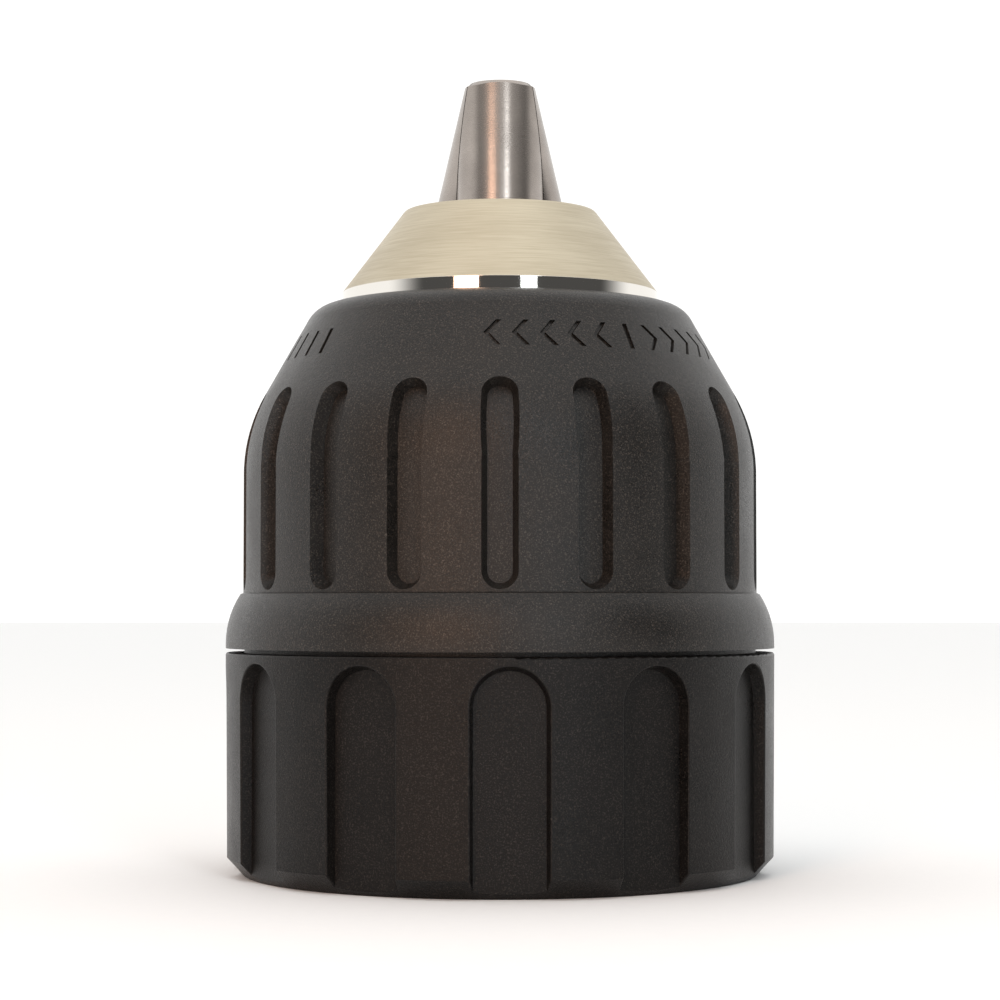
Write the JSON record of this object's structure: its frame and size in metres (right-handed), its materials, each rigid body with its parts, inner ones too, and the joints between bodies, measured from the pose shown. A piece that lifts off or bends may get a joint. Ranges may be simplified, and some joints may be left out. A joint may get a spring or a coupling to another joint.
{
  "type": "keyless drill chuck",
  "caption": "Keyless drill chuck with two hand sleeves, inclined self-centring jaws, split nut, thrust bearing, nose ring and threaded spindle bore.",
  "frame": {"origin": "centre of the rear face, where the threaded hub meets the spindle's shoulder", "axes": "+Z along the chuck's axis, out of the nose towards the jaws; -Y is the side that one jaw lies on"},
  "size_m": [0.043, 0.043, 0.0621],
  "materials": {
    "hardened_steel": "turned, blackened lightly by heat treatment",
    "rear_plastic": "fine-grained matte black nylon",
    "front_plastic": "fine-grained matte black nylon",
    "nickel_ring": "warm satin nickel on the cone, bright on the rim",
    "bearing_steel": "ground",
    "nut_steel": "machined",
    "band_steel": "drawn sheet",
    "cage_brass": "stamped",
    "jaw_steel": "ground",
    "ball_steel": "polished"
  },
  "bodies": {
    "body_and_rear_sleeve": {"chuck_body": "hardened_steel", "rear_sleeve": "rear_plastic", "nose_ring": "nickel_ring", "slide_washer": "bearing_steel", "lower_race": "bearing_steel"},
    "front_sleeve_and_nut": {"front_sleeve": "front_plastic", "nut_half_a": "nut_steel", "nut_half_b": "nut_steel", "nut_band": "band_steel", "upper_race": "bearing_steel"},
    "bearing_cage": {"ball_cage": "cage_brass", "bearing_ball_01": "ball_steel", "bearing_ball_02": "ball_steel", "bearing_ball_03": "ball_steel", "bearing_ball_04": "ball_steel", "bearing_ball_05": "ball_steel", "bearing_ball_06": "ball_steel", "bearing_ball_07": "ball_steel", "bearing_ball_08": "ball_steel", "bearing_ball_09": "ball_steel", "bearing_ball_10": "ball_steel", "bearing_ball_11": "ball_steel", "bearing_ball_12": "ball_steel", "bearing_ball_13": "ball_steel", "bearing_ball_14": "ball_steel", "bearing_ball_15": "ball_steel", "bearing_ball_16": "ball_steel", "bearing_ball_17": "ball_steel", "bearing_ball_18": "ball_steel"},
    "first_jaw": {"jaw_1": "jaw_steel"},
    "second_jaw": {"jaw_2": "jaw_steel"},
    "third_jaw": {"jaw_3": "jaw_steel"}
  },
  "joints": [
    {"name": "sleeve_turn", "type": "hinge", "parent": "body_and_rear_sleeve", "child": "front_sleeve_and_nut", "pos_m": [0, 0, 0.024], "axis": [0, 0, 1], "range_deg": [0, 4320]},
    {"name": "cage_turn", "type": "hinge", "parent": "body_and_rear_sleeve", "child": "bearing_cage", "pos_m": [0, 0, 0.019], "axis": [0, 0, 1], "range_deg": [0, 2160]},
    {"name": "jaw_1_slide", "type": "slide", "parent": "body_and_rear_sleeve", "child": "first_jaw", "axis": [0, -0.2672, -0.9636], "range_m": [0, 0.01806]},
    {"name": "jaw_2_slide", "type": "slide", "parent": "body_and_rear_sleeve", "child": "second_jaw", "axis": [0.2314, 0.1336, -0.9636], "range_m": [0, 0.01806]},
    {"name": "jaw_3_slide", "type": "slide", "parent": "body_and_rear_sleeve", "child": "third_jaw", "axis": [-0.2314, 0.1336, -0.9636], "range_m": [0, 0.01806]}
  ],
  "couplings": [
    {"joint": "cage_turn", "follows": "sleeve_turn", "ratio": 0.5},
    {"joint": "jaw_1_slide", "follows": "sleeve_turn", "m_per_rad": 0.00023948},
    {"joint": "jaw_2_slide", "follows": "sleeve_turn", "m_per_rad": 0.00023948},
    {"joint": "jaw_3_slide", "follows": "sleeve_turn", "m_per_rad": 0.00023948}
  ]
}
